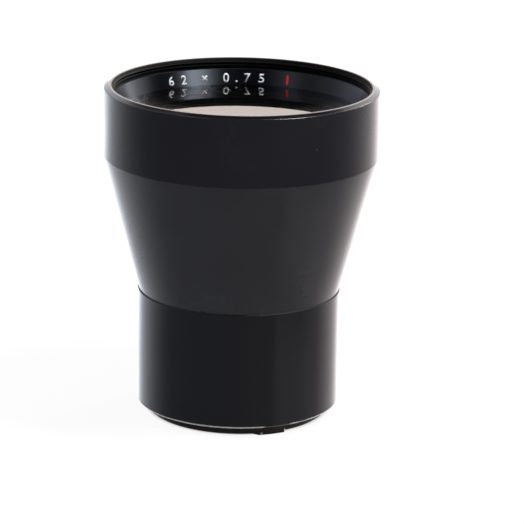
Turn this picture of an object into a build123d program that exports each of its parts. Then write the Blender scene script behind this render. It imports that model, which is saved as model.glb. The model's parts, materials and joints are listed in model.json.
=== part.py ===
from build123d import *
from math import copysign, radians, sqrt, tan
import os

# Outer body, upwards from the end face of the spigot that it stands on
spigot_height = 2.35
shoulder_width = 2.75
rear_barrel_radius = 24.55
rear_barrel_height = 28.35
barrel_step = 0.2
barrel_top_chamfer = 0.2
barrel_foot_chamfer = 0.25
cone_height = 33.0
band_radius = 33.0
band_height = 16.84
rim_lead_in = 0.2
rim_land = 0.55
rim_fall = 0.63
rim_round = 0.2
land_round = 0.5

# Front ring: walls and steps from the band inwards, and its threaded tail
band_wall = 2.0
name_ring_step = 0.45
name_ring_relief = 0.45
doublet_step = 0.55
tail_length = 4.35
socket_wall = 1.25

# Name ring: how far it sits below the rim, and its conical face
name_ring_drop = 2.7
name_ring_height = 3.8
name_ring_lip = 0.05
name_ring_overhang = 1.15

# Front doublet: a nearly flat flint cemented to a strong crown
flint_front_curve_share = 33.4
doublet_joint_curve_share = 3.0
crown_rear_curve_share = 4.0
flint_thickness = 2.6
crown_edge_thickness = 1.2

# Meniscus, the tapered cell that hangs under the front ring, and its retainer
meniscus_front_curve_share = 2.54
meniscus_rear_curve_share = 5.08
meniscus_edge_thickness = 3.05
meniscus_gap = 1.3
cell_shim_thickness = 0.2
cell_shim_width = 0.7
cell_flange_thickness = 1.3
cell_neck_drop = 1.35
cell_neck_flare = 0.5
cell_wall = 1.2
cell_gap = 0.3
cell_reach = 9.8
cell_lip_reach = 1.2
cell_lip_thickness = 1.35
retainer_overlap = 0.9
retainer_flare = 0.3
retainer_height = 2.5

# Taper: its wall, its threaded tail and the pockets for the light stops
cone_wall = 2.0
cone_tail_wall = 1.75
cone_tail_length = 5.0
cone_tail_bore_length = 2.0
cone_floor_clearance = 0.2
pocket_height = 2.65
front_baffle_drop = 4.5
baffle_thickness = 0.8
baffle_lip = 3.1

# Lower cylinder: its wall, its ledge and the web that carries cell and mount
barrel_wall = 1.55
barrel_ledge = 1.4
mount_recess_depth = 2.65
web_thickness = 4.0
web_reach = 3.25
rear_baffle_thickness = 0.75
rear_baffle_reach = 2.7

# Negative rear group, its cell and its rings
biconcave_front_curve_share = 3.64
rear_joint_curve_share = 1.58
rear_flint_rear_curve_share = 4.06
biconcave_thickness = 2.0
rear_flint_edge_thickness = 3.0
rear_seat_rise = 0.15
rear_cell_wall = 1.7
rear_lip_reach = 1.0
rear_lip_thickness = 1.25
rear_cell_top_margin = 2.0
rear_flange_thickness = 1.8
rear_shim_thickness = 0.2
lock_ring_height = 2.45
rear_retainer_overlap = 1.3
rear_retainer_flare = 0.6
rear_retainer_height = 2.0

# Bayonet mount: lugs, lip and screws
lug_count = 3
lug_reach = 1.0
lug_height = 1.9
lug_span_degrees = 23
first_lug_degrees = -68
lug_end_degrees = 3.2
lug_chamfer = 0.35
spigot_chamfer = 0.2
mount_lip_reach = 1.15
mount_gap = 0.3
screw_count = 3
screw_head_radius = 1.5
screw_shank_radius = 0.8
screw_head_degrees = 90
screw_bite = 3.0
screw_slot_width = 0.4
screw_slot_depth = 0.4

# Clearances and spanner slots
thread_clearance = 0.05
lens_clearance = 0.1
seat_clearance = 0.02
screw_clearance = 0.1
slot_count = 2
slot_width = 2.0
slot_depth = 0.9
overrun = 1.0


def surface_drop(curve, radius):
    """Depth of a spherical face below its apex; a negative curve is centred above it."""
    return curve - copysign(sqrt(curve**2 - radius**2), curve)


def cone_outside(z):
    """Radius of the taper's outer face at a height."""
    return cone_bottom_radius + cone_taper * (z - cone_z)


def cone_bore(z):
    """Radius of the tapered bore at a height."""
    return cone_outside(z) - cone_wall


def turned(points):
    """Half section of a turned piece, as radius and height points."""
    with BuildSketch(Plane.XZ) as section:
        with BuildLine():
            Polyline(*points, close=True)
        make_face()
    return section.sketch


def lens_section(top_z, top_curve, bottom_z, bottom_curve, radius):
    """Half section of a lens from its two apex heights and signed curves."""
    ends = []
    with BuildSketch(Plane.XZ) as section:
        with BuildLine():
            for apex, curve in ((top_z, top_curve), (bottom_z, bottom_curve)):
                middle = (radius / 2, apex - surface_drop(curve, radius / 2))
                ends.append((radius, apex - surface_drop(curve, radius)))
                ThreePointArc((0, apex), middle, ends[-1])
            Line(*ends)
            Line((0, bottom_z), (0, top_z))
        make_face()
    return section.sketch


# Heights of the outer joints
shoulder_z = spigot_height
cone_z = shoulder_z + rear_barrel_height
band_z = cone_z + cone_height
rim_z = band_z + band_height
cone_bottom_radius = rear_barrel_radius - barrel_step
cone_taper = (band_radius - cone_bottom_radius) / cone_height

# Front doublet, downwards from the edge of the name ring that it touches
filter_thread_radius = band_radius - band_wall
name_bore_radius = filter_thread_radius - name_ring_step
doublet_bore = name_bore_radius - doublet_step
doublet_radius = doublet_bore - lens_clearance
name_ring_top_z = rim_z - name_ring_drop
name_ring_z = name_ring_top_z - name_ring_height
name_ring_bottom_radius = name_bore_radius - name_ring_overhang
flint_front_curve = doublet_radius * flint_front_curve_share
doublet_joint_curve = doublet_radius * doublet_joint_curve_share
crown_rear_curve = doublet_radius * crown_rear_curve_share
flint_front_z = name_ring_z + surface_drop(flint_front_curve, name_ring_bottom_radius)
doublet_joint_z = flint_front_z - flint_thickness
crown_edge_z = doublet_joint_z - surface_drop(doublet_joint_curve, doublet_radius)
crown_rear_z = crown_edge_z - crown_edge_thickness - surface_drop(crown_rear_curve, doublet_radius)

# Threaded joint of front ring and taper
tail_end_z = band_z - tail_length
cone_floor_z = tail_end_z - cone_floor_clearance
socket_radius = cone_outside(cone_floor_z) - socket_wall
tail_radius = socket_radius - thread_clearance

# Meniscus cell, fitted into the tapered bore, and the seat above its threaded neck
cell_flange_top_z = tail_end_z - cell_shim_thickness
cell_flange_z = cell_flange_top_z - cell_flange_thickness
cell_flange_radius = cone_bore(cell_flange_z) - cell_gap
cell_neck_radius = cell_flange_radius - cell_shim_width
doublet_seat_radius = cell_neck_radius + thread_clearance
doublet_seat_z = crown_rear_z + surface_drop(crown_rear_curve, doublet_seat_radius)
cell_neck_z = doublet_seat_z - cell_neck_drop
meniscus_front_z = crown_rear_z - meniscus_gap
cell_bore = cone_bore(meniscus_front_z - cell_reach) - cell_gap - cell_wall
meniscus_radius = cell_bore - lens_clearance
meniscus_front_curve = meniscus_radius * meniscus_front_curve_share
meniscus_rear_curve = meniscus_radius * meniscus_rear_curve_share
meniscus_edge_z = meniscus_front_z - surface_drop(meniscus_front_curve, meniscus_radius)
meniscus_seat_z = meniscus_edge_z - meniscus_edge_thickness
meniscus_rear_z = meniscus_seat_z + surface_drop(meniscus_rear_curve, meniscus_radius)
cell_foot_z = meniscus_seat_z - cell_lip_thickness
cell_foot_radius = cone_bore(cell_foot_z) - cell_gap
cell_lip_radius = meniscus_radius - cell_lip_reach
retainer_radius = meniscus_radius - retainer_overlap
retainer_z = meniscus_front_z - surface_drop(meniscus_front_curve, retainer_radius)

# Light stops in the taper
front_baffle_z = cell_foot_z - front_baffle_drop
middle_baffle_z = (front_baffle_z + cone_z) / 2

# Lower cylinder, from its outside inwards
barrel_bore = rear_barrel_radius - barrel_wall
rear_bore = barrel_bore - barrel_ledge
web_bore = rear_bore - web_reach
web_z = shoulder_z + mount_recess_depth
web_top_z = web_z + web_thickness
cone_tail_radius = barrel_bore - thread_clearance
cone_tail_bore = cone_tail_radius - cone_tail_wall
cone_tail_z = cone_z - cone_tail_length
barrel_ledge_z = cone_tail_z - rear_baffle_thickness - thread_clearance

# Rear group, upwards from the lip of its cell
rear_cell_radius = web_bore - thread_clearance
rear_cell_bore = rear_cell_radius - rear_cell_wall
rear_lens_radius = rear_cell_bore - lens_clearance
rear_cell_lip_radius = rear_lens_radius - rear_lip_reach
biconcave_front_curve = rear_lens_radius * biconcave_front_curve_share
rear_joint_curve = rear_lens_radius * rear_joint_curve_share
rear_flint_rear_curve = rear_lens_radius * rear_flint_rear_curve_share
rear_seat_z = web_z + rear_seat_rise
rear_cell_z = rear_seat_z - rear_lip_thickness
rear_flint_rear_z = rear_seat_z + surface_drop(rear_flint_rear_curve, rear_lens_radius)
rear_joint_edge_z = rear_seat_z + rear_flint_edge_thickness
rear_joint_z = rear_joint_edge_z + surface_drop(rear_joint_curve, rear_lens_radius)
biconcave_front_z = rear_joint_z + biconcave_thickness
biconcave_edge_z = biconcave_front_z + surface_drop(biconcave_front_curve, rear_lens_radius)
rear_cell_top_z = biconcave_edge_z + rear_cell_top_margin
rear_flange_radius = rear_bore - lens_clearance
rear_flange_z = web_top_z + rear_shim_thickness
rear_flange_top_z = rear_flange_z + rear_flange_thickness
rear_retainer_radius = rear_lens_radius - rear_retainer_overlap

# Bayonet mount and its screws
spigot_radius = rear_barrel_radius - shoulder_width
mount_lip_bore = web_bore - mount_lip_reach
mount_lip_height = rear_cell_z - mount_gap
screw_circle_radius = (mount_lip_bore + spigot_radius) / 2
screw_start_degrees = first_lug_degrees + 180 / lug_count
screw_length = web_z + screw_bite
screw_head_height = (screw_head_radius - screw_shank_radius) / tan(radians(screw_head_degrees / 2))

os.makedirs("parts", exist_ok=True)

# Front ring: plain band, rim with a narrow land and a sloping shoulder, filter thread bore,
# seat for the doublet and a threaded tail
rim_inner_radius = filter_thread_radius + rim_lead_in
with BuildPart() as front_ring:
    revolve(
        turned([
            (tail_radius, band_z),
            (band_radius, band_z),
            (band_radius, rim_z - rim_fall),
            (rim_inner_radius + rim_land, rim_z),
            (rim_inner_radius, rim_z),
            (filter_thread_radius, rim_z - rim_lead_in),
            (filter_thread_radius, name_ring_top_z),
            (name_bore_radius, name_ring_top_z),
            (name_bore_radius, name_ring_z - name_ring_relief),
            (doublet_bore, name_ring_z - name_ring_relief),
            (doublet_bore, doublet_seat_z),
            (doublet_seat_radius, doublet_seat_z),
            (doublet_seat_radius, tail_end_z),
            (tail_radius, tail_end_z),
        ]),
        axis=Axis.Z,
    )
    rim_edges = front_ring.edges().filter_by(GeomType.CIRCLE).group_by(Axis.Z)
    outer_edge = rim_edges[-3].sort_by(SortBy.RADIUS)[-1]
    fillet(rim_edges[-1].sort_by(SortBy.RADIUS)[-1], radius=land_round)
    fillet(outer_edge, radius=rim_round)
front_ring.part.label = "front_ring"
export_step(front_ring.part, "parts/front_ring.step")

# Name ring: conical face that narrows down to the front glass and holds it
name_ring_radius = name_bore_radius - thread_clearance
with BuildPart() as name_ring:
    revolve(
        turned([
            (name_ring_radius, name_ring_z),
            (name_ring_radius, name_ring_top_z),
            (name_ring_radius - name_ring_lip, name_ring_top_z),
            (name_ring_bottom_radius, name_ring_z),
        ]),
        axis=Axis.Z,
    )
name_ring.part.label = "name_ring"
export_step(name_ring.part, "parts/name_ring.step")

# Front flint: nearly flat front face, hollow rear face
with BuildPart() as front_flint_lens:
    revolve(
        lens_section(
            flint_front_z, flint_front_curve, doublet_joint_z, doublet_joint_curve, doublet_radius
        ),
        axis=Axis.Z,
    )
front_flint_lens.part.label = "front_flint_lens"
export_step(front_flint_lens.part, "parts/front_flint_lens.step")

# Front crown: fills the hollow of the flint and bulges to the rear
with BuildPart() as front_crown_lens:
    revolve(
        lens_section(
            doublet_joint_z, doublet_joint_curve, crown_rear_z, -crown_rear_curve, doublet_radius
        ),
        axis=Axis.Z,
    )
front_crown_lens.part.label = "front_crown_lens"
export_step(front_crown_lens.part, "parts/front_crown_lens.step")

# Meniscus: both faces bulge to the front
with BuildPart() as meniscus_lens:
    revolve(
        lens_section(
            meniscus_front_z,
            meniscus_front_curve,
            meniscus_rear_z,
            meniscus_rear_curve,
            meniscus_radius,
        ),
        axis=Axis.Z,
    )
meniscus_lens.part.label = "meniscus_lens"
export_step(meniscus_lens.part, "parts/meniscus_lens.step")

# Meniscus cell: threaded neck, flange against the shim and a straight tube with a foot lip
with BuildPart() as meniscus_cell:
    revolve(
        turned([
            (cell_neck_radius, cell_flange_top_z),
            (cell_neck_radius, cell_neck_z),
            (cell_bore + cell_neck_flare, cell_neck_z),
            (cell_bore, cell_flange_z),
            (cell_bore, meniscus_seat_z),
            (cell_lip_radius, meniscus_seat_z),
            (cell_lip_radius, cell_foot_z),
            (cell_foot_radius, cell_foot_z),
            (cell_foot_radius, cell_flange_z),
            (cell_flange_radius, cell_flange_z),
            (cell_flange_radius, cell_flange_top_z),
        ]),
        axis=Axis.Z,
    )
    with BuildSketch(Plane.XY.offset(cell_foot_z)):
        with PolarLocations((cell_lip_radius + cell_foot_radius) / 2, slot_count):
            Rectangle(cell_foot_radius - cell_lip_radius + overrun, slot_width)
    extrude(amount=slot_depth, mode=Mode.SUBTRACT)
meniscus_cell.part.label = "meniscus_cell"
export_step(meniscus_cell.part, "parts/meniscus_cell.step")

# Cell shim: thin ring between the front ring's tail and the cell's flange
with BuildPart() as cell_shim:
    with BuildSketch(Plane.XY.offset(cell_flange_top_z)):
        Circle(cell_flange_radius)
        Circle(doublet_seat_radius, mode=Mode.SUBTRACT)
    extrude(amount=cell_shim_thickness)
cell_shim.part.label = "cell_shim"
export_step(cell_shim.part, "parts/cell_shim.step")

# Meniscus retainer: presses on the lens near its edge, with two spanner slots on top
retainer_top_z = retainer_z + retainer_height
with BuildPart() as meniscus_retainer:
    revolve(
        turned([
            (retainer_radius, retainer_z + seat_clearance),
            (cell_bore - thread_clearance, retainer_z + seat_clearance),
            (cell_bore - thread_clearance, retainer_top_z),
            (retainer_radius + retainer_flare, retainer_top_z),
        ]),
        axis=Axis.Z,
    )
    with BuildSketch(Plane.XY.offset(retainer_top_z)):
        with PolarLocations((cell_bore + retainer_radius) / 2, slot_count):
            Rectangle(cell_bore - retainer_radius + overrun, slot_width)
    extrude(amount=-slot_depth, mode=Mode.SUBTRACT)
meniscus_retainer.part.label = "meniscus_retainer"
export_step(meniscus_retainer.part, "parts/meniscus_retainer.step")

# Cone barrel: straight taper with a socket on top, a threaded tail and two turned pockets
# that run out upwards into the tapered bore
with BuildPart() as cone_barrel:
    revolve(
        turned([
            (cone_tail_radius, cone_tail_z),
            (cone_tail_radius, cone_z),
            (cone_bottom_radius, cone_z),
            (band_radius, band_z),
            (socket_radius, band_z),
            (socket_radius, cone_floor_z),
            (cone_bore(cone_floor_z), cone_floor_z),
            (cone_bore(front_baffle_z + pocket_height), front_baffle_z + pocket_height),
            (cone_bore(front_baffle_z + pocket_height), front_baffle_z),
            (cone_bore(front_baffle_z), front_baffle_z),
            (cone_bore(middle_baffle_z + pocket_height), middle_baffle_z + pocket_height),
            (cone_bore(middle_baffle_z + pocket_height), middle_baffle_z),
            (cone_bore(middle_baffle_z), middle_baffle_z),
            (cone_bore(cone_z), cone_z),
            (cone_tail_bore, cone_tail_z + cone_tail_bore_length),
            (cone_tail_bore, cone_tail_z),
        ]),
        axis=Axis.Z,
    )
cone_barrel.part.label = "cone_barrel"
export_step(cone_barrel.part, "parts/cone_barrel.step")

# Front and middle baffles: flat light stops that sit on the floors of the turned pockets
for name, floor_z in (("front_baffle", front_baffle_z), ("middle_baffle", middle_baffle_z)):
    baffle_radius = cone_bore(floor_z + pocket_height) - thread_clearance
    with BuildPart() as baffle:
        with BuildSketch(Plane.XY.offset(floor_z)):
            Circle(baffle_radius)
            Circle(baffle_radius - baffle_lip, mode=Mode.SUBTRACT)
        extrude(amount=baffle_thickness)
    baffle.part.label = name
    export_step(baffle.part, f"parts/{name}.step")

# Rear barrel: plain cylinder, proud of the taper, with a web that carries cell and mount
with BuildPart() as rear_barrel:
    revolve(
        turned([
            (barrel_bore, shoulder_z),
            (rear_barrel_radius, shoulder_z),
            (rear_barrel_radius, cone_z),
            (barrel_bore, cone_z),
            (barrel_bore, barrel_ledge_z),
            (rear_bore, barrel_ledge_z),
            (rear_bore, web_top_z),
            (web_bore, web_top_z),
            (web_bore, web_z),
            (barrel_bore, web_z),
        ]),
        axis=Axis.Z,
    )
    top_edge = rear_barrel.edges().group_by(Axis.Z)[-1].sort_by(SortBy.RADIUS)[-1]
    chamfer(top_edge, length=barrel_top_chamfer)
    foot_edge = rear_barrel.edges().group_by(Axis.Z)[0].sort_by(SortBy.RADIUS)[-1]
    chamfer(foot_edge, length=barrel_foot_chamfer)
    with BuildSketch(Plane.XY.offset(web_z)):
        with PolarLocations(screw_circle_radius, screw_count, screw_start_degrees):
            Circle(screw_shank_radius + thread_clearance)
    extrude(amount=screw_bite + screw_clearance, mode=Mode.SUBTRACT)
rear_barrel.part.label = "rear_barrel"
export_step(rear_barrel.part, "parts/rear_barrel.step")

# Rear baffle: light stop on the barrel's ledge, under the end of the taper's tail
with BuildPart() as rear_baffle:
    with BuildSketch(Plane.XY.offset(barrel_ledge_z)):
        Circle(cone_tail_radius)
        Circle(rear_bore - rear_baffle_reach, mode=Mode.SUBTRACT)
    extrude(amount=rear_baffle_thickness)
rear_baffle.part.label = "rear_baffle"
export_step(rear_baffle.part, "parts/rear_baffle.step")

# Rear cell: flanged tube through the web, with a lip under the rear group
with BuildPart() as rear_cell:
    revolve(
        turned([
            (rear_cell_lip_radius, rear_cell_z),
            (rear_cell_radius, rear_cell_z),
            (rear_cell_radius, rear_flange_z),
            (rear_flange_radius, rear_flange_z),
            (rear_flange_radius, rear_flange_top_z),
            (rear_cell_radius, rear_flange_top_z),
            (rear_cell_radius, rear_cell_top_z),
            (rear_cell_bore, rear_cell_top_z),
            (rear_cell_bore, rear_seat_z),
            (rear_cell_lip_radius, rear_seat_z),
        ]),
        axis=Axis.Z,
    )
rear_cell.part.label = "rear_cell"
export_step(rear_cell.part, "parts/rear_cell.step")

# Rear cell shim: thin ring between the web and the cell's flange
with BuildPart() as rear_cell_shim:
    with BuildSketch(Plane.XY.offset(web_top_z)):
        Circle(rear_flange_radius)
        Circle(web_bore, mode=Mode.SUBTRACT)
    extrude(amount=rear_shim_thickness)
rear_cell_shim.part.label = "rear_cell_shim"
export_step(rear_cell_shim.part, "parts/rear_cell_shim.step")

# Rear lock ring: clamps the flange on the web, with two spanner slots
with BuildPart() as rear_lock_ring:
    with BuildSketch(Plane.XY.offset(rear_flange_top_z)):
        Circle(rear_bore - thread_clearance)
        Circle(rear_cell_radius + thread_clearance, mode=Mode.SUBTRACT)
    extrude(amount=lock_ring_height)
    with BuildSketch(Plane.XY.offset(rear_flange_top_z + lock_ring_height)):
        with PolarLocations((rear_bore + rear_cell_radius) / 2, slot_count):
            Rectangle(rear_bore - rear_cell_radius + overrun, slot_width)
    extrude(amount=-slot_depth, mode=Mode.SUBTRACT)
rear_lock_ring.part.label = "rear_lock_ring"
export_step(rear_lock_ring.part, "parts/rear_lock_ring.step")

# Rear biconcave lens: hollow on both faces
with BuildPart() as rear_biconcave_lens:
    revolve(
        lens_section(
            biconcave_front_z,
            -biconcave_front_curve,
            rear_joint_z,
            rear_joint_curve,
            rear_lens_radius,
        ),
        axis=Axis.Z,
    )
rear_biconcave_lens.part.label = "rear_biconcave_lens"
export_step(rear_biconcave_lens.part, "parts/rear_biconcave_lens.step")

# Rear flint: fills the hollow above it, hollow at the rear
with BuildPart() as rear_flint_lens:
    revolve(
        lens_section(
            rear_joint_z,
            rear_joint_curve,
            rear_flint_rear_z,
            rear_flint_rear_curve,
            rear_lens_radius,
        ),
        axis=Axis.Z,
    )
rear_flint_lens.part.label = "rear_flint_lens"
export_step(rear_flint_lens.part, "parts/rear_flint_lens.step")

# Rear retainer: sits on the edge of the rear group, with two spanner slots
rear_retainer_top_z = biconcave_edge_z + rear_retainer_height
with BuildPart() as rear_retainer:
    revolve(
        turned([
            (rear_retainer_radius, biconcave_edge_z + seat_clearance),
            (rear_cell_bore - thread_clearance, biconcave_edge_z + seat_clearance),
            (rear_cell_bore - thread_clearance, rear_retainer_top_z),
            (rear_retainer_radius + rear_retainer_flare, rear_retainer_top_z),
        ]),
        axis=Axis.Z,
    )
    with BuildSketch(Plane.XY.offset(rear_retainer_top_z)):
        with PolarLocations((rear_cell_bore + rear_retainer_radius) / 2, slot_count):
            Rectangle(rear_cell_bore - rear_retainer_radius + overrun, slot_width)
    extrude(amount=-slot_depth, mode=Mode.SUBTRACT)
rear_retainer.part.label = "rear_retainer"
export_step(rear_retainer.part, "parts/rear_retainer.step")

# Bayonet mount: spigot with outward lugs, flange in the barrel's recess, countersunk holes
root_radius = spigot_radius - spigot_chamfer
lug_radius = spigot_radius + lug_reach
with BuildPart() as bayonet_mount:
    revolve(
        turned([
            (mount_lip_bore, 0),
            (spigot_radius, 0),
            (spigot_radius, shoulder_z),
            (barrel_bore - thread_clearance, shoulder_z),
            (barrel_bore - thread_clearance, web_z),
            (web_bore, web_z),
            (web_bore, mount_lip_height),
            (mount_lip_bore, mount_lip_height),
        ]),
        axis=Axis.Z,
    )
    foot_edge = bayonet_mount.edges().group_by(Axis.Z)[0].sort_by(SortBy.RADIUS)[-1]
    chamfer(foot_edge, length=spigot_chamfer)
    for lug in range(lug_count):
        start_degrees = first_lug_degrees + lug * 360 / lug_count - lug_span_degrees / 2
        with BuildSketch(Plane.XY):
            with BuildLine():
                outer = CenterArc(
                    (0, 0),
                    lug_radius,
                    start_degrees + lug_end_degrees,
                    lug_span_degrees - 2 * lug_end_degrees,
                )
                inner = CenterArc((0, 0), root_radius, start_degrees, lug_span_degrees)
                Line(outer @ 0, inner @ 0)
                Line(outer @ 1, inner @ 1)
            make_face()
        extrude(amount=lug_height)
    lug_tops = bayonet_mount.faces().filter_by(Plane.XY).group_by(Axis.Z)[1]
    chamfer(lug_tops.edges().filter_by(GeomType.LINE), length=lug_chamfer)
    with Locations(Plane((0, 0, 0), x_dir=(1, 0, 0), z_dir=(0, 0, -1))):
        with PolarLocations(screw_circle_radius, screw_count, -screw_start_degrees):
            CounterSinkHole(
                screw_shank_radius + screw_clearance,
                screw_head_radius + screw_clearance,
                counter_sink_angle=screw_head_degrees,
            )
bayonet_mount.part.label = "bayonet_mount"
export_step(bayonet_mount.part, "parts/bayonet_mount.step")

# Mount screws: countersunk, slotted, from the spigot's face up into the web
upwards = (Align.CENTER, Align.CENTER, Align.MIN)
with BuildPart() as mount_screws:
    with PolarLocations(screw_circle_radius, screw_count, screw_start_degrees):
        Cylinder(screw_shank_radius, screw_length, align=upwards)
        Cone(screw_head_radius, screw_shank_radius, screw_head_height, align=upwards)
        Box(
            screw_head_radius * 2,
            screw_slot_width,
            screw_slot_depth,
            align=upwards,
            mode=Mode.SUBTRACT,
        )
mount_screws.part.label = "mount_screws"
export_step(mount_screws.part, "parts/mount_screws.step")
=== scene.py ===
import json
import math
import bpy
from mathutils import Matrix, Vector

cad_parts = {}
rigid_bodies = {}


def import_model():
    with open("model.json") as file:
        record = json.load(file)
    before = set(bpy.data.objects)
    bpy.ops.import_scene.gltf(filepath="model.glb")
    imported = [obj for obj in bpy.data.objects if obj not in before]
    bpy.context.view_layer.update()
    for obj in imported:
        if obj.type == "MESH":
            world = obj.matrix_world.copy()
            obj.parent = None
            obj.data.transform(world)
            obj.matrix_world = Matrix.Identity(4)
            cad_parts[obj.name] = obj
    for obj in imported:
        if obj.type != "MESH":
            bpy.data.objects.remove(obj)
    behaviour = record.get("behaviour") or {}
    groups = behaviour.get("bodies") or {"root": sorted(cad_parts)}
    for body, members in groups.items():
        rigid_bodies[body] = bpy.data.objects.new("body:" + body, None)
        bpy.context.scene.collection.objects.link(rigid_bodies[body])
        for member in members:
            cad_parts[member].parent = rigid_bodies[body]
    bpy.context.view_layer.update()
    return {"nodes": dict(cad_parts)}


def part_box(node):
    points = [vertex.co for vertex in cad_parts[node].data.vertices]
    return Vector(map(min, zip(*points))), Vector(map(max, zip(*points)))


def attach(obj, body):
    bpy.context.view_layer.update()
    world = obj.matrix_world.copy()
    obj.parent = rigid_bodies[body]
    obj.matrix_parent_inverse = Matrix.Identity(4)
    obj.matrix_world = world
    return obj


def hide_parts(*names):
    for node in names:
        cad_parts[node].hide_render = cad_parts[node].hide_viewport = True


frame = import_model()
nodes = frame["nodes"]
bpy.ops.object.select_all(action="DESELECT")


# Lower cylinder: turned from aluminium bar, polished and anodised black. It screws over the tail
# of the taper, stands a fifth of a millimetre proud of it, and takes the knocks on its foot edge.
# The bright bare line along that edge is partly wear and partly a painted reflection of the floor.
def put(tree, kind, inputs=None, **options):
    """Adds a shader node, sets its options and feeds its inputs with sockets or plain values."""
    made = tree.nodes.new("ShaderNode" + kind)
    for option, value in options.items():
        setattr(made, option, value)
    for name, value in (inputs or {}).items():
        if isinstance(value, bpy.types.NodeSocket):
            tree.links.new(value, made.inputs[name])
        else:
            made.inputs[name].default_value = value
    return made


def reckon(tree, operation, first, second):
    """One step of arithmetic between sockets or plain values."""
    return put(tree, "Math", {0: first, 1: second}, operation=operation).outputs[0]


def between(tree, share, first, second):
    """A value between two others, by a share."""
    return put(tree, "Mix", {0: share, 2: first, 3: second}).outputs[0]


def blend(tree, share, first, second):
    """A colour between two others, by a share."""
    return put(tree, "Mix", {0: share, 6: first, 7: second}, data_type="RGBA").outputs[2]


def open_group(name, inputs, outputs):
    """A new node group with named inputs and outputs, and its two end nodes."""
    tree = bpy.data.node_groups.new(name, "ShaderNodeTree")
    for socket, (kind, value) in inputs.items():
        made = tree.interface.new_socket(socket, in_out="INPUT", socket_type="NodeSocket" + kind)
        if value is not None:
            made.default_value = value
    for socket, kind in outputs.items():
        tree.interface.new_socket(socket, in_out="OUTPUT", socket_type="NodeSocket" + kind)
    return tree, tree.nodes.new("NodeGroupInput").outputs, tree.nodes.new("NodeGroupOutput")


# Rings left by the lathe tool: noise that runs along the section and hardly round the axis
lathe_rings, given, result = open_group(
    "lathe rings",
    {"Position": ("Vector", None), "Rings per mm": ("Float", 6.0), "Run out": ("Float", 0.02)},
    {"Height": "Float", "Patches": "Float"},
)
across = put(lathe_rings, "SeparateXYZ", {0: given["Position"]}).outputs
flat = put(lathe_rings, "CombineXYZ", {0: across[0], 1: across[1]}).outputs[0]
reach = put(lathe_rings, "VectorMath", {0: flat}, operation="LENGTH").outputs["Value"]
round_axis = put(lathe_rings, "VectorMath", {0: flat}, operation="NORMALIZE").outputs["Vector"]
turn = put(lathe_rings, "SeparateXYZ", {0: round_axis}).outputs
per_metre = reckon(lathe_rings, "MULTIPLY", given["Rings per mm"], 1000.0)
along = reckon(lathe_rings, "MULTIPLY", reckon(lathe_rings, "ADD", across[2], reach), per_metre)
wander = reckon(lathe_rings, "MULTIPLY", turn[0], given["Run out"])
sideways = reckon(lathe_rings, "MULTIPLY", turn[1], given["Run out"])
ring_place = put(lathe_rings, "CombineXYZ", {0: along, 1: wander, 2: sideways}).outputs[0]
rings = put(
    lathe_rings, "TexNoise", {"Vector": ring_place, "Scale": 1.0, "Detail": 3.0, "Roughness": 0.6}
)
patches_per_metre = 60.0
patch_place = put(
    lathe_rings, "VectorMath", {0: given["Position"], 3: patches_per_metre}, operation="SCALE"
)
patches = put(lathe_rings, "TexNoise", {"Vector": patch_place.outputs[0], "Scale": 1.0, "Detail": 4.0})
lathe_rings.links.new(rings.outputs["Fac"], result.inputs["Height"])
lathe_rings.links.new(patches.outputs["Fac"], result.inputs["Patches"])

# Bare metal along a turned edge: strongest at the edge's height and broken up by noise
edge_wear, given, result = open_group(
    "edge wear",
    {
        "Position": ("Vector", None),
        "Edge height": ("Float", 0.0),
        "Width": ("Float", 0.0003),
        "Amount": ("Float", 0.5),
    },
    {"Wear": "Float"},
)
height = put(edge_wear, "SeparateXYZ", {0: given["Position"]}).outputs[2]
away = reckon(edge_wear, "ABSOLUTE", reckon(edge_wear, "SUBTRACT", height, given["Edge height"]), 0.0)
closeness = reckon(edge_wear, "SUBTRACT", 1.0, reckon(edge_wear, "DIVIDE", away, given["Width"]))
chips = put(edge_wear, "TexNoise", {"Vector": given["Position"], "Scale": 900.0, "Detail": 5.0})
worn = reckon(edge_wear, "ADD", closeness, reckon(edge_wear, "SUBTRACT", chips.outputs["Fac"], 1.0))
worn = reckon(edge_wear, "ADD", worn, given["Amount"])
spread = put(edge_wear, "MapRange", {"Value": worn, "From Min": 0.55, "From Max": 0.95})
near = put(edge_wear, "MapRange", {"Value": closeness, "From Min": 0.0, "From Max": 0.2})
edge_wear.links.new(
    reckon(edge_wear, "MULTIPLY", spread.outputs[0], near.outputs[0]), result.inputs["Wear"]
)

# Specks of dust: small dots in a few of the cells of a pattern
dust, given, result = open_group(
    "dust",
    {"Position": ("Vector", None), "Cell": ("Float", 400.0), "Share": ("Float", 0.05)},
    {"Specks": "Float"},
)
cells = put(dust, "TexVoronoi", {"Vector": given["Position"], "Scale": given["Cell"]})
dot = put(dust, "MapRange", {"Value": cells.outputs["Distance"], "From Min": 0.09, "From Max": 0.03})
pick = put(dust, "SeparateColor", {0: cells.outputs["Color"]}).outputs[0]
chosen = reckon(dust, "LESS_THAN", pick, given["Share"])
dust.links.new(reckon(dust, "MULTIPLY", dot.outputs[0], chosen), result.inputs["Specks"])


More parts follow.
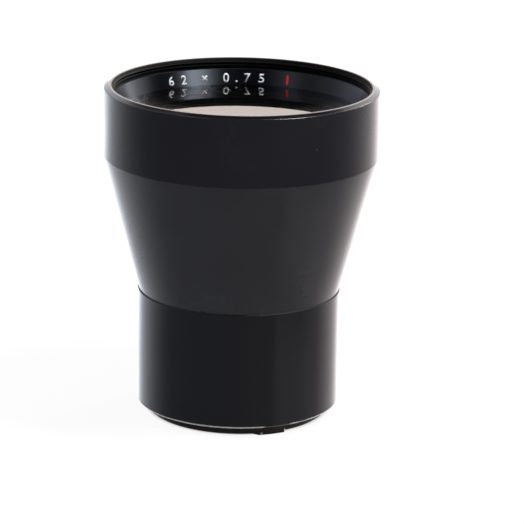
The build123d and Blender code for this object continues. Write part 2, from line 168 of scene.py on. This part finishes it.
def black_anodising(
    name, tone, sheen, specular, rings_per_mm, ring_depth, brushed=0.0, dust_share=0.0, edges=(),
    nicks=(), shaded_spots=(), faced_top=(1.0, 0.001, 0.0), painted_top_tone=(0.0, 0.0, 0.0), dull_shaded_bore=0.0,
):
    """Black anodised aluminium with lathe rings, patches and some dust.

    Each of the edges that are rubbed bare has a height, a width and an amount; a bright bare edge
    can also stand as a painted reflection. The nicks are bare spots, and the shaded spots are
    painted shade that takes the bare edge away round them. A faced top has a height, a depth and
    a roughness, and its own painted tone in place of the dye: painted shade when left black,
    painted light when paler than the dye. Nearer to the axis than the dull bore's radius the wall
    is dull and takes the faced top's painted tone.
    """
    bare_metal = (0.55, 0.53, 0.51, 1.0)
    dust_tone = (0.06, 0.058, 0.055, 1.0)
    tone_spread, sheen_spread = 0.15, 0.12
    shade_inner, shade_outer = 0.003, 0.0042
    nick_inner, nick_outer = 0.0002, 0.00035
    painted_top_share = 0.75
    bore_sheen, bare_sheen, bare_metallic = 0.85, 0.4, 0.5

    finish = bpy.data.materials.new(name)
    finish.use_nodes = True
    tree = finish.node_tree
    shader = tree.nodes["Principled BSDF"]
    place = put(tree, "TexCoord").outputs["Object"]
    turned = put(
        tree, "Group", {"Position": place, "Rings per mm": rings_per_mm}, node_tree=lathe_rings
    ).outputs
    specks = put(tree, "Group", {"Position": place, "Share": dust_share}, node_tree=dust).outputs[0]

    bare = 0.0
    for edge_height, width, amount in edges:
        worn_edge = put(
            tree, "Group",
            {"Position": place, "Edge height": edge_height, "Width": width, "Amount": amount},
            node_tree=edge_wear,
        )
        bare = reckon(tree, "MAXIMUM", bare, worn_edge.outputs["Wear"])
    # Painted shade: round each shaded spot the bare edge is taken away, where a lug would block its light
    for spot in shaded_spots:
        gap = put(tree, "VectorMath", {0: place, 1: spot}, operation="DISTANCE").outputs["Value"]
        rubbed = put(tree, "MapRange", {"Value": gap, "From Min": shade_inner, "From Max": shade_outer})
        bare = reckon(tree, "MULTIPLY", bare, rubbed.outputs[0])
    for nick in nicks:
        gap = put(tree, "VectorMath", {0: place, 1: nick}, operation="DISTANCE").outputs["Value"]
        chip = put(tree, "MapRange", {"Value": gap, "From Min": nick_outer, "From Max": nick_inner})
        bare = reckon(tree, "MAXIMUM", bare, chip.outputs[0])

    level = put(tree, "SeparateXYZ", {0: place}).outputs[2]
    top, depth, faced_sheen = faced_top
    faced = put(
        tree, "MapRange", {"Value": level, "From Min": top - depth, "From Max": top - depth / 2}
    ).outputs[0]
    flat_place = put(tree, "VectorMath", {0: place, 1: (1.0, 1.0, 0.0)}, operation="MULTIPLY").outputs[0]
    reach = put(tree, "VectorMath", {0: flat_place}, operation="LENGTH").outputs["Value"]
    inside = reckon(tree, "LESS_THAN", reach, dull_shaded_bore)

    patchy = put(
        tree, "MapRange", {"Value": turned["Patches"], "From Min": 0.3, "From Max": 0.7}
    ).outputs[0]
    darker = [part * (1 - tone_spread) for part in tone] + [1.0]
    lighter = [part * (1 + tone_spread) for part in tone] + [1.0]
    dyed = blend(tree, patchy, darker, lighter)
    # Painted light and shade: the faced top and the bore take the painted top tone in place of the dye
    painted_tone_share = reckon(tree, "MULTIPLY", reckon(tree, "MAXIMUM", faced, inside), painted_top_share)
    dyed = blend(tree, painted_tone_share, dyed, (*painted_top_tone, 1.0))
    metal = blend(tree, bare, dyed, bare_metal)
    tree.links.new(blend(tree, specks, metal, dust_tone), shader.inputs["Base Color"])
    tree.links.new(reckon(tree, "MULTIPLY", bare, bare_metallic), shader.inputs["Metallic"])

    matt = between(tree, patchy, sheen * (1 - sheen_spread), sheen * (1 + sheen_spread))
    matt = between(tree, faced, matt, faced_sheen)
    matt = reckon(tree, "MAXIMUM", matt, reckon(tree, "MULTIPLY", inside, bore_sheen))
    matt = reckon(tree, "MAXIMUM", matt, reckon(tree, "MULTIPLY", bare, bare_sheen))
    tree.links.new(matt, shader.inputs["Roughness"])
    grooves = put(tree, "Bump", {"Height": turned["Height"], "Strength": 1.0, "Distance": ring_depth})
    tree.links.new(grooves.outputs[0], shader.inputs["Normal"])
    round_z = put(tree, "Tangent", direction_type="RADIAL", axis="Z")
    tree.links.new(round_z.outputs[0], shader.inputs["Tangent"])
    shader.inputs["Anisotropic"].default_value = brushed
    shader.inputs["Anisotropic Rotation"].default_value = 0.25
    shader.inputs["Specular IOR Level"].default_value = specular
    return finish


def dress(node, finish):
    """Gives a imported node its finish."""
    nodes[node].data.materials.clear()
    nodes[node].data.materials.append(finish)


rear_barrel_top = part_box("rear_barrel")[1].z
rear_barrel_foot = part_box("rear_barrel")[0].z
# The foot's bare line is wear and painted reflection of the floor. Painted shade cuts it away at the
# shaded spots where the lugs would block the floor's light, and the faced top's paler tone is painted
# light on the top ledge.
cylinder_black = black_anodising(
    "cylinder black", tone=(0.0017, 0.0022, 0.0058), sheen=0.24, specular=1.0, rings_per_mm=7.0,
    ring_depth=0.0000004, brushed=0.6, dust_share=0.02, edges=[(rear_barrel_foot, 0.00045, 1.2)],
    nicks=[(-0.00802, -0.0232, 0.0025), (-0.02345, -0.00726, 0.0025)],
    shaded_spots=[(0.00991, -0.02246, 0.00235), (0.0179, -0.0213, 0.00235), (-0.0196, -0.0203, 0.00235)],
    faced_top=(rear_barrel_top, 0.0003, 0.9), painted_top_tone=(0.0085, 0.0085, 0.0105),
)
dress("rear_barrel", cylinder_black)


# Bayonet mount: a separate turned ring let into the foot of the cylinder, with its lugs milled
# in one piece with the spigot. The gloss is deeper here, and one lug's corner has a bare nick.
lug_top = 0.0019
mount_black = black_anodising(
    "mount black", tone=(0.0125, 0.0100, 0.0085), sheen=0.2, specular=0.6, rings_per_mm=5.0,
    ring_depth=0.0000005, brushed=0.3, dust_share=0.03,
    edges=[(0.0, 0.00035, 0.0), (lug_top, 0.0003, 0.0)], nicks=[(0.0061, -0.02197, 0.0003)],
)
dress("bayonet_mount", mount_black)


# Mount screws: three countersunk screws with slotted heads, turned from plain steel. They are
# put in from below, through the mount into the cylinder, and hold the two together.
dark_steel = (0.22, 0.22, 0.225, 1.0)
light_steel = (0.5, 0.49, 0.48, 1.0)
screw_steel = bpy.data.materials.new("screw steel")
screw_steel.use_nodes = True
tree = screw_steel.node_tree
shader = tree.nodes["Principled BSDF"]
place = put(tree, "TexCoord").outputs["Object"]
stains = put(tree, "TexNoise", {"Vector": place, "Scale": 700.0, "Detail": 5.0}).outputs["Fac"]
tree.links.new(blend(tree, stains, dark_steel, light_steel), shader.inputs["Base Color"])
shader.inputs["Metallic"].default_value = 1.0
polish = put(tree, "MapRange", {"Value": stains, "To Min": 0.2, "To Max": 0.45})
tree.links.new(polish.outputs[0], shader.inputs["Roughness"])
driver_marks = put(tree, "Bump", {"Height": stains, "Strength": 0.5, "Distance": 0.00003})
tree.links.new(driver_marks.outputs[0], shader.inputs["Normal"])
dress("mount_screws", screw_steel)


# Cells, rings and light stops inside the barrel: aluminium painted or anodised matt black, so
# that no stray light gets through. Their threads and slots are cut before the finish goes on.
matt_black = black_anodising(
    "matt black", tone=(0.002, 0.002, 0.002), sheen=0.6, specular=0.1, rings_per_mm=4.0,
    ring_depth=0.000004, dust_share=0.02,
)
for inner in (
    "rear_cell", "rear_lock_ring", "rear_retainer", "rear_baffle", "middle_baffle", "front_baffle",
    "meniscus_cell", "meniscus_retainer",
):
    dress(inner, matt_black)


# Shims: two thin rings punched from rolled brass sheet. One spaces the meniscus from the front
# pair, and the other sets the depth of the rear cell.
dark_brass = (0.42, 0.29, 0.12, 1.0)
light_brass = (0.66, 0.49, 0.22, 1.0)
shim_brass = bpy.data.materials.new("shim brass")
shim_brass.use_nodes = True
tree = shim_brass.node_tree
shader = tree.nodes["Principled BSDF"]
place = put(tree, "TexCoord").outputs["Object"]
rolled = put(tree, "Mapping", {"Vector": place, "Scale": (3000.0, 200.0, 200.0)}).outputs[0]
grain = put(tree, "TexNoise", {"Vector": rolled, "Scale": 1.0, "Detail": 4.0}).outputs["Fac"]
tree.links.new(blend(tree, grain, dark_brass, light_brass), shader.inputs["Base Color"])
shader.inputs["Metallic"].default_value = 1.0
polish = put(tree, "MapRange", {"Value": grain, "To Min": 0.25, "To Max": 0.4})
tree.links.new(polish.outputs[0], shader.inputs["Roughness"])
for shim in ("rear_cell_shim", "cell_shim"):
    dress(shim, shim_brass)


# Lenses: ground and polished optical glass with a thin coating that tints what they mirror. Each
# cemented pair is one body of glass to the light, because the cement fills the joint. The
# meniscus stands alone. Every edge is painted black against stray light.
def lens_glass(name, index, body, tint, dust_share):
    """Clear coated glass with a little dust on it."""
    speck_haze = 0.5
    glass = bpy.data.materials.new(name)
    glass.use_nodes = True
    tree = glass.node_tree
    shader = tree.nodes["Principled BSDF"]
    place = put(tree, "TexCoord").outputs["Object"]
    specks = put(
        tree, "Group", {"Position": place, "Cell": 500.0, "Share": dust_share}, node_tree=dust
    ).outputs[0]
    smears = put(tree, "TexNoise", {"Vector": place, "Scale": 90.0, "Detail": 5.0}).outputs["Fac"]
    film = put(tree, "MapRange", {"Value": smears, "From Min": 0.5, "From Max": 0.8, "To Max": 0.02})
    dulled = reckon(tree, "MAXIMUM", film.outputs[0], reckon(tree, "MULTIPLY", specks, speck_haze))
    tree.links.new(dulled, shader.inputs["Roughness"])
    shader.inputs["Base Color"].default_value = body
    shader.inputs["Transmission Weight"].default_value = 1.0
    shader.inputs["IOR"].default_value = index
    shader.inputs["Specular Tint"].default_value = tint
    return glass


flint = lens_glass(
    "flint glass", index=1.65, body=(0.62, 0.60, 0.58, 1.0), tint=(0.7, 0.65, 0.62, 1.0), dust_share=0.02
)
crown = lens_glass(
    "crown glass", index=1.52, body=(1.0, 1.0, 1.0, 1.0), tint=(0.7, 0.55, 0.75, 1.0), dust_share=0.0
)
edge_paint = black_anodising(
    "edge paint", tone=(0.004, 0.004, 0.004), sheen=0.6, specular=0.3, rings_per_mm=3.0,
    ring_depth=0.000001,
)


def dome(pole, rim, radius, rings):
    """Turns the selected flat disc into a ball's cap, ring by ring from its rim to its pole."""
    ball = (radius**2 + (pole - rim) ** 2) / (2 * abs(pole - rim))
    up = math.copysign(1.0, pole - rim)
    level = rim
    for ring in range(1, rings):
        reach = radius * (1 - ring / rings)
        deep = ball - math.sqrt(ball**2 - reach**2)
        bpy.ops.mesh.inset(thickness=radius / rings, depth=0.0)
        bpy.ops.transform.translate(value=(0.0, 0.0, pole - up * deep - level))
        level = pole - up * deep
    bpy.ops.mesh.poke()
    bpy.ops.mesh.select_mode(type="VERT")
    bpy.ops.mesh.select_less()
    bpy.ops.transform.translate(value=(0.0, 0.0, pole - level))


def lens_body(name, stands_for, glass, radius, front_pole, front_rim, rear_pole, rear_rim):
    """A lens or a cemented pair as one body of glass, and the black paint round its edge."""
    round_steps = 160
    cap_rings = 16
    smooth_below = math.radians(30)
    bpy.ops.mesh.primitive_cylinder_add(
        vertices=round_steps, radius=radius, depth=front_rim - rear_rim, location=(0.0, 0.0, 0.0)
    )
    body = bpy.context.object
    body.name = name
    body.location.z = (front_rim + rear_rim) / 2
    bpy.ops.object.transform_apply(location=True)
    for pole, rim, faces_up in ((front_pole, front_rim, True), (rear_pole, rear_rim, False)):
        bpy.ops.object.mode_set(mode="EDIT")
        bpy.ops.mesh.select_mode(type="FACE")
        bpy.ops.mesh.select_all(action="DESELECT")
        bpy.ops.object.mode_set(mode="OBJECT")
        for face in body.data.polygons:
            face.select = len(face.vertices) > 4 and (face.normal.z > 0.5) == faces_up
        bpy.ops.object.mode_set(mode="EDIT")
        dome(pole, rim, radius, cap_rings)
        bpy.ops.object.mode_set(mode="OBJECT")
    bpy.ops.object.shade_smooth_by_angle(angle=smooth_below)
    body.data.materials.append(glass)
    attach(body, "root")
    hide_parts(*stands_for)
    bpy.ops.object.select_all(action="DESELECT")

    # The paint is a sleeve round the edge, two hundredths of a millimetre each way, that laps over
    # both faces. The first extrude takes the whole new sleeve, so thin ribs stand inside it and
    # the lap over the rear face is twice as wide.
    film = 0.00002
    lap = 0.0002
    bpy.ops.mesh.primitive_cylinder_add(
        vertices=round_steps, radius=radius, depth=front_rim - rear_rim, end_fill_type="NOTHING",
        location=(0.0, 0.0, 0.0),
    )
    paint = bpy.context.object
    paint.name = name + "_edge_paint"
    paint.location.z = (front_rim + rear_rim) / 2
    bpy.ops.object.transform_apply(location=True)
    for rim in (front_rim, rear_rim):
        for corner in paint.data.vertices:
            corner.select = abs(corner.co.z - rim) < film
        for side in paint.data.edges:
            side.select = all(paint.data.vertices[end].select for end in side.vertices)
        bpy.ops.object.mode_set(mode="EDIT")
        bpy.ops.mesh.extrude_edges_move()
        shrink = (radius - lap) / radius
        bpy.ops.transform.resize(value=(shrink, shrink, 1.0), center_override=(0.0, 0.0, rim))
        bpy.ops.mesh.select_all(action="DESELECT")
        bpy.ops.object.mode_set(mode="OBJECT")
    bpy.ops.object.modifier_add(type="SOLIDIFY")
    paint.modifiers["Solidify"].thickness = film * 2
    paint.modifiers["Solidify"].offset = 0.0
    bpy.ops.object.modifier_apply(modifier="Solidify")
    bpy.ops.object.shade_smooth_by_angle(angle=smooth_below)
    paint.data.materials.append(edge_paint)
    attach(paint, "root")
    bpy.ops.object.select_all(action="DESELECT")


# Front pair: almost flat outside and well rounded inside
front_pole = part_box("front_flint_lens")[1].z
rear_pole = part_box("front_crown_lens")[0].z
front_bulge = 0.000448
rear_bulge = 0.003798
lens_body(
    "front_doublet", ("front_flint_lens", "front_crown_lens"), flint, radius=0.0299,
    front_pole=front_pole, front_rim=front_pole - front_bulge,
    rear_pole=rear_pole, rear_rim=rear_pole + rear_bulge,
)

# Rear pair: hollow on both faces
front_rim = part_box("rear_biconcave_lens")[1].z
rear_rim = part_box("rear_flint_lens")[0].z
front_hollow = 0.002311
rear_hollow = 0.002064
lens_body(
    "rear_doublet", ("rear_biconcave_lens", "rear_flint_lens"), flint, radius=0.0165,
    front_pole=front_rim - front_hollow, front_rim=front_rim,
    rear_pole=rear_rim + rear_hollow, rear_rim=rear_rim,
)

# Meniscus: bulges to the front and is hollow behind, both as shares of its radius
low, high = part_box("meniscus_lens")
bulge_share = 0.2051
hollow_share = 0.0994
lens_body(
    "meniscus", ("meniscus_lens",), crown, radius=high.x,
    front_pole=high.z, front_rim=high.z - bulge_share * high.x,
    rear_pole=low.z + hollow_share * high.x, rear_rim=low.z,
)


# Taper: one long straight cone turned between centres, joined to the cylinder by a screw thread
# below and to the front ring above. It is the plainest surface and shows the light best.
taper_black = black_anodising(
    "taper black", tone=(0.0153, 0.0156, 0.0200), sheen=0.26, specular=1.0, rings_per_mm=6.0,
    ring_depth=0.0000005, brushed=0.6, dust_share=0.02,
)
dress("cone_barrel", taper_black)


# Front ring: the wide band with the filter thread cut inside its rim. Its flat rim and rounded
# edge were turned last, and handling has polished them. The top of the rim and the bore inside it
# are darkened towards black as painted shade.
rim_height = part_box("front_ring")[1].z
band_black = black_anodising(
    "band black", tone=(0.0082, 0.0085, 0.0124), sheen=0.26, specular=0.55, rings_per_mm=7.0,
    ring_depth=0.0000004, brushed=0.45, dust_share=0.02, edges=[(rim_height, 0.0002, -0.2)],
    faced_top=(rim_height, 0.0006, 0.16), dull_shaded_bore=0.03122,
)
dress("front_ring", band_black)


# Filter thread: two and a third turns of ridge with a pitch of 0.75 mm, cut inside the rim. The
# ridge's section is screwed round the axis and left duller than the ring, as a cutter leaves it.
# Both of its ends lie on the near side.
thread_pitch = 0.00075
thread_turns = 2.3
thread_root = 0.03102
thread_crest = 0.03062
thread_foot = rim_height - 0.00269
thread_start = math.radians(-195.0)
turn_steps = 400
ridge_share = 0.86
ridge_width = thread_pitch * ridge_share
crest_share = 0.14
smooth_below = math.radians(30)
middle_radius = (thread_root + thread_crest) / 2
middle_height = thread_foot + ridge_width / 2
bpy.ops.mesh.primitive_plane_add(size=1.0, location=(0.0, 0.0, 0.0))
filter_thread = bpy.context.object
filter_thread.name = "filter_thread"
bpy.ops.object.mode_set(mode="EDIT")
bpy.ops.mesh.select_all(action="SELECT")
bpy.ops.transform.rotate(value=math.pi / 2, orient_axis="X", center_override=(0.0, 0.0, 0.0))
bpy.ops.transform.resize(
    value=(thread_root - thread_crest, 1.0, ridge_width), center_override=(0.0, 0.0, 0.0)
)
bpy.ops.transform.translate(value=(middle_radius, 0.0, middle_height))
bpy.ops.object.mode_set(mode="OBJECT")
for corner in filter_thread.data.vertices:
    corner.select = corner.co.x < middle_radius
for side in list(filter_thread.data.edges) + list(filter_thread.data.polygons):
    side.select = False
bpy.ops.object.mode_set(mode="EDIT")
bpy.ops.transform.resize(
    value=(1.0, 1.0, crest_share), center_override=(thread_crest, 0.0, middle_height)
)
bpy.ops.mesh.select_all(action="SELECT")
bpy.ops.mesh.delete(type="ONLY_FACE")
bpy.ops.object.mode_set(mode="OBJECT")
bpy.ops.object.modifier_add(type="SCREW")
turning = filter_thread.modifiers["Screw"]
turning.axis = "Z"
turning.angle = math.tau * thread_turns
turning.screw_offset = thread_pitch * thread_turns
turning.steps = turn_steps
turning.render_steps = turn_steps
turning.use_normal_calculate = True
bpy.ops.object.modifier_apply(modifier="Screw")
bpy.ops.object.mode_set(mode="EDIT")
bpy.ops.mesh.select_all(action="DESELECT")
bpy.ops.mesh.select_non_manifold()
bpy.ops.mesh.fill()
bpy.ops.mesh.select_all(action="SELECT")
bpy.ops.mesh.normals_make_consistent(inside=False)
bpy.ops.transform.rotate(value=thread_start, orient_axis="Z", center_override=(0.0, 0.0, 0.0))
bpy.ops.object.mode_set(mode="OBJECT")
bpy.ops.object.shade_smooth_by_angle(angle=smooth_below)
thread_black = black_anodising(
    "thread black", tone=(0.002, 0.002, 0.003), sheen=0.55, specular=0.1, rings_per_mm=7.0,
    ring_depth=0.0000004,
)
filter_thread.data.materials.append(thread_black)
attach(filter_thread, "root")
bpy.ops.object.select_all(action="DESELECT")


# Name ring: a conical ring that screws down on the front glass. Its face was turned with a fine
# feed and dyed blue black, so lamps draw bright fans across it.
name_ring_black = black_anodising(
    "name ring black", tone=(0.0010, 0.0013, 0.0028), sheen=0.38, specular=1.0, rings_per_mm=9.0,
    ring_depth=0.0000008, brushed=1.0, dust_share=0.02,
)
shader = name_ring_black.node_tree.nodes["Principled BSDF"]
shader.inputs["IOR"].default_value = 1.6
shader.inputs["Specular Tint"].default_value = (0.75, 0.83, 1.0, 1.0)
dress("name_ring", name_ring_black)

# Marks: the size of the filter thread and a red index line, engraved in the name ring and filled
# with enamel. Each figure is laid on the cone, a few hundredths of a millimetre thick.
mark_height = 0.0023
face_run = 0.00105
face_rise = 0.0038
face_slope = math.atan2(face_run, face_rise)
face_radius = 0.02993
face_height = (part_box("name_ring")[0].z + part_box("name_ring")[1].z) / 2


def enamel(name, colour):
    """Filling enamel, slightly grainy and rubbed."""
    rubbed_share = 0.8
    paint = bpy.data.materials.new(name)
    paint.use_nodes = True
    tree = paint.node_tree
    shader = tree.nodes["Principled BSDF"]
    place = put(tree, "TexCoord").outputs["Object"]
    rub = put(tree, "TexNoise", {"Vector": place, "Scale": 2500.0, "Detail": 4.0}).outputs["Fac"]
    rubbed_colour = [part * rubbed_share for part in colour] + [1.0]
    tree.links.new(blend(tree, rub, rubbed_colour, [*colour, 1.0]), shader.inputs["Base Color"])
    grain = put(tree, "Bump", {"Height": rub, "Strength": 0.4, "Distance": 0.00002})
    tree.links.new(grain.outputs[0], shader.inputs["Normal"])
    shader.inputs["Roughness"].default_value = 0.45
    return paint


def lay_on_ring(mark, degrees, paint):
    """Sets a flat mark on the cone at an angle from the far side, wraps it and thickens it."""
    drop = 0.0002
    lift = 0.0001
    clear_of_face = 0.000012
    enamel_depth = 0.00004
    turn = math.radians(degrees)
    across = Vector((math.cos(turn), -math.sin(turn), 0.0))
    outwards = Vector((math.sin(turn), math.cos(turn), 0.0))
    up = outwards * math.sin(face_slope) + Vector((0.0, 0.0, math.cos(face_slope)))
    facing = across.cross(up)
    spot = outwards * face_radius + Vector((0.0, 0.0, face_height - drop)) + facing * lift
    mark.matrix_world = Matrix.Translation(spot) @ Matrix((across, up, facing)).transposed().to_4x4()
    bpy.ops.object.transform_apply(location=True, rotation=True, scale=True)
    bpy.ops.object.modifier_add(type="SHRINKWRAP")
    wrap = mark.modifiers["Shrinkwrap"]
    wrap.target = nodes["name_ring"]
    wrap.wrap_method = "NEAREST_SURFACEPOINT"
    wrap.wrap_mode = "ABOVE_SURFACE"
    wrap.offset = clear_of_face
    bpy.ops.object.modifier_apply(modifier="Shrinkwrap")
    bpy.ops.object.modifier_add(type="SOLIDIFY")
    mark.modifiers["Solidify"].thickness = enamel_depth
    mark.modifiers["Solidify"].offset = -1.0
    bpy.ops.object.modifier_apply(modifier="Solidify")
    mark.data.materials.clear()
    mark.data.materials.append(paint)
    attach(mark, "root")
    bpy.ops.object.select_all(action="DESELECT")


white_enamel = enamel("white enamel", (0.87, 0.885, 0.93))
height_share = 0.73
stroke_growth = 0.00006
for number, (figure, degrees) in enumerate((
    ("6", -36.0), ("2", -29.0), ("×", -18.2), ("0", -7.8), (".", -2.8), ("7", 2.2), ("5", 9.2),
)):
    bpy.ops.object.text_add(location=(0.0, 0.0, 0.0))
    mark = bpy.context.object
    mark.name = f"size_figure_{number + 1}"
    mark.data.body = figure
    mark.data.size = mark_height / height_share
    mark.data.align_x = "CENTER"
    mark.data.offset = stroke_growth
    bpy.ops.object.convert(target="MESH")
    bpy.ops.object.mode_set(mode="EDIT")
    bpy.ops.mesh.select_all(action="SELECT")
    bpy.ops.transform.translate(value=(0.0, -mark_height / 2, 0.0))
    bpy.ops.object.mode_set(mode="OBJECT")
    lay_on_ring(mark, degrees, white_enamel)

red_enamel = enamel("red enamel", (0.75, 0.015, 0.02))
line_degrees = 22.0
line_width = 0.0006
corner_cut = 0.00028
bpy.ops.mesh.primitive_plane_add(size=1.0, location=(0.0, 0.0, 0.0))
index_line = bpy.context.object
index_line.name = "index_line"
bpy.ops.object.mode_set(mode="EDIT")
bpy.ops.mesh.select_all(action="SELECT")
bpy.ops.transform.resize(value=(line_width, mark_height, 1.0), center_override=(0.0, 0.0, 0.0))
bpy.ops.mesh.bevel(offset=corner_cut, segments=5, affect="VERTICES")
bpy.ops.object.mode_set(mode="OBJECT")
lay_on_ring(index_line, line_degrees, red_enamel)


# Floor: a plain pale sheet laid under the object. It stays white to its edge, keeps the object's
# soft shadow, and doesn't show in the polished walls.
bpy.ops.mesh.primitive_circle_add(vertices=96, radius=1.4, fill_type="NGON", location=(0.0, 0.0, 0.0))
floor = bpy.context.object
floor.name = "floor"
pale = bpy.data.materials.new("pale sheet")
pale.use_nodes = True
tree = pale.node_tree
shader = tree.nodes["Principled BSDF"]
shader.inputs["Base Color"].default_value = (0.9, 0.9, 0.9, 1.0)
shader.inputs["Roughness"].default_value = 0.9
shader.inputs["Specular IOR Level"].default_value = 0.1
rays = put(tree, "LightPath").outputs
seen = reckon(tree, "MAXIMUM", rays["Is Camera Ray"], rays["Is Transmission Ray"])
white = put(tree, "Emission", {"Color": (1.0, 1.0, 1.0, 1.0), "Strength": 1.0})
place = put(tree, "TexCoord").outputs["Object"]
from_axis = put(tree, "VectorMath", {0: place}, operation="LENGTH").outputs["Value"]
clear_of_foot = put(tree, "MapRange", {"Value": from_axis, "From Min": 0.0205, "From Max": 0.0225})
plain_share = 0.92
share = reckon(tree, "MULTIPLY", seen, reckon(tree, "MULTIPLY", clear_of_foot.outputs[0], plain_share))
lit = put(tree, "MixShader", {0: share, 1: shader.outputs[0], 2: white.outputs[0]})
tree.links.new(lit.outputs[0], tree.nodes["Material Output"].inputs["Surface"])
floor.data.materials.append(pale)
floor.visible_glossy = False
bpy.ops.object.select_all(action="DESELECT")


# Studio: a white sweep all round but for the unlit side that the camera stands on, a softbox
# behind with a wing on each side, a key light above on the right and weaker fills on the left.
studio = bpy.data.worlds.new("studio")
bpy.context.scene.world = studio
studio.use_nodes = True
tree = studio.node_tree
sky = tree.nodes["Background"]
way = put(tree, "TexCoord").outputs["Generated"]
aim = put(tree, "SeparateXYZ", {0: way}).outputs
backdrop = put(
    tree, "MapRange",
    {"Value": aim[1], "From Min": -0.1, "From Max": 0.9, "To Min": 0.03, "To Max": 1.0},
    interpolation_type="SMOOTHSTEP",
).outputs[0]
ceiling = put(
    tree, "MapRange",
    {"Value": aim[2], "From Min": 0.4, "From Max": 0.75, "To Min": 1.0, "To Max": 0.1},
    interpolation_type="SMOOTHSTEP",
).outputs[0]
rays = put(tree, "LightPath").outputs
through = reckon(tree, "MULTIPLY", rays["Is Transmission Ray"], ceiling)
clear = reckon(tree, "MAXIMUM", rays["Is Camera Ray"], through)

# Below the horizon: polished walls mirror the far end of the sweep in their outlines and its
# darker near end in their middles
turned_back = put(tree, "MapRange", {"Value": aim[1], "From Min": -0.3, "From Max": 0.95}).outputs[0]
near_end = 0.13
far_end = 1.6
rise_power = 2.4
rising = reckon(tree, "MULTIPLY", reckon(tree, "POWER", turned_back, rise_power), far_end)
below = reckon(tree, "ADD", rising, near_end)
far_side = put(
    tree, "MapRange",
    {"Value": aim[1], "From Min": 0.72, "From Max": 0.92, "To Min": 0.0, "To Max": 0.7},
    interpolation_type="SMOOTHSTEP",
).outputs[0]
all_round = between(
    tree, reckon(tree, "LESS_THAN", aim[2], 0.0), reckon(tree, "MULTIPLY", backdrop, ceiling),
    reckon(tree, "ADD", below, far_side),
)
mirrored = reckon(tree, "MULTIPLY", all_round, rays["Is Glossy Ray"])
room_light = 0.5
spread = reckon(tree, "MULTIPLY", rays["Is Diffuse Ray"], room_light)
level = reckon(tree, "MAXIMUM", spread, reckon(tree, "MAXIMUM", clear, mirrored))
tree.links.new(level, sky.inputs["Strength"])
to_right = put(tree, "MapRange", {"Value": aim[0], "From Min": -0.4, "From Max": 0.4}).outputs[0]
plain_white = (1.0, 1.0, 1.0, 1.0)
left_wall = (0.96, 0.99, 1.08, 1.0)
right_wall = (1.05, 0.97, 0.97, 1.0)
walls = blend(tree, to_right, left_wall, right_wall)
tree.links.new(blend(tree, rays["Is Glossy Ray"], plain_white, walls), sky.inputs["Color"])


def softbox(name, spot, aim, width, height, brightness, colour=(1.0, 1.0, 1.0)):
    """A flat lamp that stands at a spot, faces a point and has an even brightness."""
    lamp = bpy.data.lights.new(name, "AREA")
    lamp.shape = "RECTANGLE"
    lamp.size = width
    lamp.size_y = height
    lamp.energy = brightness * width * height * math.pi
    lamp.color = colour
    holder = bpy.data.objects.new(name, lamp)
    bpy.context.scene.collection.objects.link(holder)
    holder.location = spot
    holder.rotation_euler = (Vector(aim) - Vector(spot)).to_track_quat("-Z", "Y").to_euler()
    holder.visible_transmission = False
    holder.visible_camera = False


# Lamps: only the lower cylinder mirrors the dim low card, which stands below the floor
front_end = (0.0, 0.0, 0.076)
warm = (1.0, 0.77, 0.6)
cool = (0.78, 0.78, 0.86)
softbox(
    "backdrop_softbox", spot=(0.0, 1.3, 0.55), aim=(0.0, 0.0, 0.1), width=0.5, height=1.0,
    brightness=0.93, colour=warm,
)
softbox(
    "right_wing", spot=(0.725, 1.3, 0.55), aim=(0.725, 0.0, 0.1), width=0.95, height=1.0,
    brightness=0.93, colour=cool,
)
softbox(
    "left_wing", spot=(-0.725, 1.3, 0.55), aim=(-0.725, 0.0, 0.1), width=0.95, height=1.0,
    brightness=0.6, colour=cool,
)
softbox(
    "key_softbox", spot=(0.3825, -0.136, 0.824), aim=front_end, width=0.12, height=0.3, brightness=60.0
)
softbox(
    "edge_softbox", spot=(0.532, 0.6175, 0.56), aim=front_end, width=0.12, height=0.4, brightness=19.0
)
softbox(
    "front_fill_softbox", spot=(-0.3825, -0.136, 0.824), aim=front_end, width=0.2, height=0.3,
    brightness=3.0,
)
softbox("fill_softbox", spot=(-0.62, 0.18, 0.68), aim=front_end, width=0.8, height=0.8, brightness=0.4)
softbox(
    "low_card", spot=(0.097, -0.0524, -0.0205), aim=(0.005, -0.0134, -0.0205), width=0.095,
    height=0.039, brightness=0.132,
)


# Camera: a long lens 0.7 m away from the object. It looks down at about sixteen degrees and is
# rolled by about one degree.
eye = bpy.data.cameras.new("camera")
camera = bpy.data.objects.new("camera", eye)
bpy.context.scene.collection.objects.link(camera)
bpy.context.scene.camera = camera
eye.sensor_width = 36.0
eye.lens = 198.45
eye.clip_start = 0.01
spot = Vector((0.0, -0.6737, 0.23372))
looked_at = Vector((0.00553, -0.00164, 0.03716))
forward = (looked_at - spot).normalized()
right = forward.cross(Vector((0.0, 0.0, 1.0))).normalized()
upright = right.cross(forward)
roll = math.radians(1.111)
image_up = upright * math.cos(roll) - right * math.sin(roll)
image_right = right * math.cos(roll) + upright * math.sin(roll)
camera.matrix_world = (
    Matrix.Translation(spot) @ Matrix((image_right, image_up, -forward)).transposed().to_4x4()
)

bpy.context.scene.view_settings.view_transform = "Standard"
